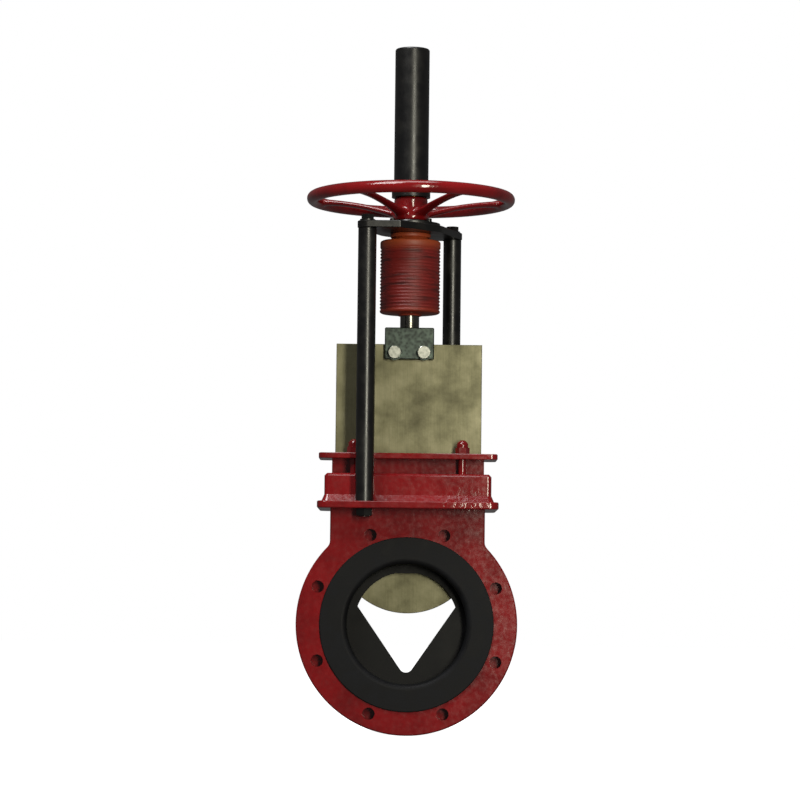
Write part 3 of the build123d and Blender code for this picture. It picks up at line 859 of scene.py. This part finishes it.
@dataclass
class YokeFrame(SubAssembly):
    """Columns, yoke plate and bearing housing, with the boot hung under the plate."""

    nodes: tuple[str, ...] = (
        "column_left", "column_right", "column_nuts", "yoke_washers", "yoke_bolts", "yoke_plate",
        "bearing_housing", "housing_screws", "race_lower", "race_upper", "boot_spigot", "stem_boot")
    boot_r_mm: float = 47.6
    boot_wall_mm: float = 1.4
    fold_depth_mm: float = 1.9
    fold_count: int = 19
    shoulder_mm: float = 4.5
    band_mm: float = 11.0
    neck_r_mm: float = 28.6
    collar_r_mm: float = 31.8
    collar_h_mm: float = 6.6
    neck_h_mm: float = 11.4
    heel_mm: float = 5.0
    tail_r_mm: float = 18.6
    tail_h_mm: float = 2.6
    slack_mm: float = 4.0
    top_gap_mm: float = 0.3
    neck_ease_mm: float = 0.8
    neck_flare_mm: float = 1.5
    tail_flare_mm: float = 1.0
    lip_mm: float = 0.6
    lip_rise_mm: float = 0.5
    arc_steps: int = 4
    shoulder_squash: float = 0.7
    heel_squash: float = 0.8
    collar_gap_mm: float = 0.2
    collar_edge_mm: float = 0.9
    collar_soften_mm: float = 0.5
    turn_steps: int = 96

    def boot_profile(self) -> list[tuple[float, float]]:
        """The outer line of the boot from its neck down to its tail.

        Returns:
            Points as (radius, height) in millimetres.
        """
        low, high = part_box("stem_boot")
        top = high.z / MM
        bottom = low.z / MM
        shoulder = top - self.neck_h_mm
        stem_r = (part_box("stem")[1].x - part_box("stem")[0].x) / 2 / MM
        points = [
            (self.neck_r_mm, top - self.top_gap_mm), (self.neck_r_mm, shoulder + self.neck_ease_mm),
            (self.neck_r_mm + self.neck_flare_mm, shoulder)]
        for step in range(self.arc_steps + 1):
            angle = TURN / 4 * (1 - step / self.arc_steps)
            reach = self.boot_r_mm - self.shoulder_mm + self.shoulder_mm * math.cos(angle)
            drop = self.shoulder_mm * (1 - math.sin(angle)) * self.shoulder_squash
            points.append((reach, shoulder - drop))
        fold_top = shoulder - self.band_mm
        fold_low = bottom + self.tail_h_mm + self.heel_mm
        pitch = (fold_top - fold_low) / self.fold_count
        for index in range(self.fold_count * 4 + 1):
            swell = math.cos(index * TURN / 4) / 2 - 1 / 2
            points.append((self.boot_r_mm + self.fold_depth_mm * swell, fold_top - index * pitch / 4))
        for step in range(1, self.arc_steps + 1):
            angle = TURN / 4 * step / self.arc_steps
            reach = self.boot_r_mm - self.heel_mm * (1 - math.cos(angle))
            points.append((reach, fold_low - self.heel_mm * self.heel_squash * math.sin(angle)))
        tail_top = bottom + self.tail_h_mm
        points += [
            (self.tail_r_mm + self.tail_flare_mm, tail_top), (self.tail_r_mm, tail_top - self.neck_ease_mm),
            (self.tail_r_mm, bottom + self.lip_rise_mm), (self.tail_r_mm - self.lip_mm, bottom),
            (stem_r + self.top_gap_mm, bottom)]
        return points

    def build_boot(self, material: bpy.types.Material) -> bpy.types.Object:
        """Dip the boot: fine folds between a banded shoulder and a short tail.

        Args:
            material: the red rubber.

        Returns:
            The boot.
        """
        boot = new_object("boot_bellows", turned(self.boot_profile(), self.turn_steps, False), material)
        wall = boot.modifiers.new("wall", "SOLIDIFY")
        wall.thickness = self.boot_wall_mm * MM
        wall.offset = -1.0
        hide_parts("stem_boot")
        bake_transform(boot)
        LOG.info("built %s", boot.name)
        return boot

    def build_collar(self, material: bpy.types.Material) -> bpy.types.Object:
        """Roll the thick collar that grips the ring under the yoke plate.

        Args:
            material: the red rubber.

        Returns:
            The collar.
        """
        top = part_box("stem_boot")[1].z / MM
        low = top - self.collar_h_mm
        inner = self.neck_r_mm + self.collar_gap_mm
        edge = self.collar_edge_mm
        outline = [
            (inner, low), (self.collar_r_mm - edge, low), (self.collar_r_mm, low + edge),
            (self.collar_r_mm, top - edge), (self.collar_r_mm - edge, top), (inner, top)]
        collar = new_object("boot_collar", turned(outline, self.turn_steps, True), material)
        soften = collar.modifiers.new("edges", "BEVEL")
        soften.width = self.collar_soften_mm * MM
        soften.segments = 2
        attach(collar, FRAME_BODY)
        LOG.info("built %s", collar.name)
        return collar


@dataclass
class TurningWheel(SubAssembly):
    """The handwheel with its nut, key, socket, tube and cap."""

    nodes: tuple[str, ...] = (
        "stem_nut", "wheel_key", "handwheel", "tube_socket", "protector_tube", "tube_cap")
    rim_r_mm: float = 9.8
    rim_steps: int = 144
    rim_sides: int = 24
    hub_r_mm: float = 28.0
    hub_waist_mm: float = 1.6
    hub_edge_mm: float = 2.0
    hub_h_mm: float = 37.0
    bore_r_mm: float = 20.2
    spoke_count: int = 5
    spoke_first_deg: float = 18.0
    spoke_half_w_mm: float = 8.5
    spoke_half_t_mm: float = 4.2
    spoke_flare: float = 0.55
    spoke_root_mm: float = 10.5
    spoke_start_mm: float = 3.0
    spoke_sides: int = 16
    spoke_steps: int = 16
    spoke_dish: float = 1.8
    voxel_mm: float = 1.5
    smoothing: int = 6

    def build_rim(self, shape: bmesh.types.BMesh, radius_mm: float, height_mm: float) -> None:
        """Spin the round rim.

        Args:
            shape: the mesh to add to.
            radius_mm: from the stem to the middle of the rim's section.
            height_mm: the rim's height.
        """
        ring = bmesh.ops.create_circle(shape, segments=self.rim_sides, radius=self.rim_r_mm * MM)["verts"]
        bmesh.ops.rotate(shape, verts=ring, cent=(0, 0, 0), matrix=Matrix.Rotation(math.radians(90), 3, "X"))
        bmesh.ops.translate(shape, verts=ring, vec=Vector((radius_mm, 0, height_mm)) * MM)
        edges = list({edge for vert in ring for edge in vert.link_edges})
        bmesh.ops.spin(
            shape, geom=ring + edges, axis=(0, 0, 1), cent=(0, 0, 0), angle=TURN, steps=self.rim_steps,
            use_merge=True)

    def build_hub(self, shape: bmesh.types.BMesh, low_mm: float) -> None:
        """Spin the hub, waisted a little, with a bore for the nut.

        Args:
            shape: the mesh to add to.
            low_mm: the height of its lower face.
        """
        high = low_mm + self.hub_h_mm
        edge = self.hub_edge_mm
        middle = self.hub_r_mm - self.hub_waist_mm
        outline = [
            (self.bore_r_mm, low_mm), (self.hub_r_mm - edge, low_mm), (self.hub_r_mm, low_mm + edge),
            (self.hub_r_mm, low_mm + self.spoke_root_mm), (middle, (low_mm + high) / 2 + edge),
            (middle, high - edge), (middle - edge, high), (self.bore_r_mm, high)]
        points = [shape.verts.new((radius * MM, 0, height * MM)) for radius, height in outline]
        edges = [shape.edges.new(pair) for pair in zip(points, points[1:] + points[:1])]
        bmesh.ops.spin(
            shape, geom=points + edges, axis=(0, 0, 1), cent=(0, 0, 0), angle=TURN, steps=self.rim_steps // 2,
            use_merge=True)

    def build_spoke(
        self, shape: bmesh.types.BMesh, turn_deg: float, root_mm: float, rim_mm: float, reach_mm: float,
    ) -> None:
        """Draw one dished spoke out of the hub and up into the rim.

        Args:
            shape: the mesh to add to.
            turn_deg: its angle from +X.
            root_mm: its height at the hub.
            rim_mm: its height at the rim.
            reach_mm: the radius of the middle of the rim's section.
        """
        start = self.bore_r_mm + self.spoke_start_mm
        ring = bmesh.ops.create_circle(
            shape, cap_ends=True, segments=self.spoke_sides, radius=MM)["verts"]
        bmesh.ops.rotate(
            shape, verts=ring, cent=(0, 0, 0), matrix=Matrix.Rotation(math.radians(90), 3, "Y"))
        face = next(iter({f for vert in ring for f in vert.link_faces}))
        made = set(ring)
        for step in range(self.spoke_steps + 1):
            share = step / self.spoke_steps
            radius = start + (reach_mm - start) * share
            height = rim_mm - (rim_mm - root_mm) * (1 - share) ** self.spoke_dish
            flare = 1 + self.spoke_flare * ((1 - share) ** 4 + share ** 6)
            if step:
                face = bmesh.ops.extrude_face_region(shape, geom=[face])["geom"]
                face = next(item for item in face if isinstance(item, bmesh.types.BMFace))
            made.update(face.verts)
            centre = face.calc_center_median()
            wide, tall = self.section(face)
            bmesh.ops.translate(shape, verts=face.verts, vec=-centre)
            broad = self.spoke_half_w_mm * flare * MM / wide
            thick = self.spoke_half_t_mm * flare * MM / tall
            bmesh.ops.scale(shape, verts=face.verts, vec=Vector((1, broad, thick)))
            bmesh.ops.translate(shape, verts=face.verts, vec=Vector((radius, 0, height)) * MM)
        bmesh.ops.rotate(
            shape, verts=list(made), cent=(0, 0, 0), matrix=Matrix.Rotation(math.radians(turn_deg), 3, "Z"))

    @staticmethod
    def section(face: bmesh.types.BMFace) -> tuple[float, float]:
        """Half the width and half the height of a spoke's end face.

        Args:
            face: the end face, square to X.

        Returns:
            The half sizes along Y and Z.
        """
        across = [vert.co.y for vert in face.verts]
        upright = [vert.co.z for vert in face.verts]
        return (max(across) - min(across)) / 2, (max(upright) - min(upright)) / 2

    def build_wheel(self, material: bpy.types.Material) -> bpy.types.Object:
        """Cast the handwheel: rim, hub and spokes melted into one skin with fillets.

        Args:
            material: the red enamel.

        Returns:
            The handwheel.
        """
        low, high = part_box("handwheel")
        reach = high.x / MM - self.rim_r_mm
        rim = high.z / MM - self.rim_r_mm
        base = low.z / MM
        shape = bmesh.new()
        self.build_rim(shape, reach, rim)
        self.build_hub(shape, base)
        for index in range(self.spoke_count):
            turn = self.spoke_first_deg + 360 / self.spoke_count * index
            self.build_spoke(shape, turn, base + self.spoke_root_mm, rim, reach)
        bmesh.ops.remove_doubles(shape, verts=shape.verts, dist=0.001 * MM)
        bmesh.ops.recalc_face_normals(shape, faces=shape.faces)
        rough = new_object("wheel_rough", shape, material)
        melt = rough.modifiers.new("melt", "REMESH")
        melt.mode = "VOXEL"
        melt.voxel_size = self.voxel_mm * MM
        skin = baked(rough)
        bpy.data.objects.remove(rough)
        for _ in range(self.smoothing):
            bmesh.ops.smooth_vert(
                skin, verts=skin.verts, factor=0.5, use_axis_x=True, use_axis_y=True, use_axis_z=True)
        wheel = new_object("cast_handwheel", skin, material)
        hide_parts("handwheel")
        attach(wheel, WHEEL_BODY)
        LOG.info("built %s with %d faces", wheel.name, len(wheel.data.polygons))
        return wheel


def main() -> None:
    """Build the studio, the finishes and every sub-assembly."""
    logging.basicConfig(level=logging.INFO, format="%(name)s: %(message)s")
    Studio().build()
    materials = {slot: finish.material() for slot, finish in FINISHES.items()}
    body, gate, yoke, wheel = PressureBody(), SlidingGate(), YokeFrame(), TurningWheel()
    for assembly in (body, gate, yoke, wheel):
        assembly.dress(materials)
    yoke.build_boot(materials[Slot.RED_RUBBER])
    yoke.build_collar(materials[Slot.RED_RUBBER])
    wheel.build_wheel(materials[Slot.RED_ENAMEL])


if __name__ == "__main__":
    main()
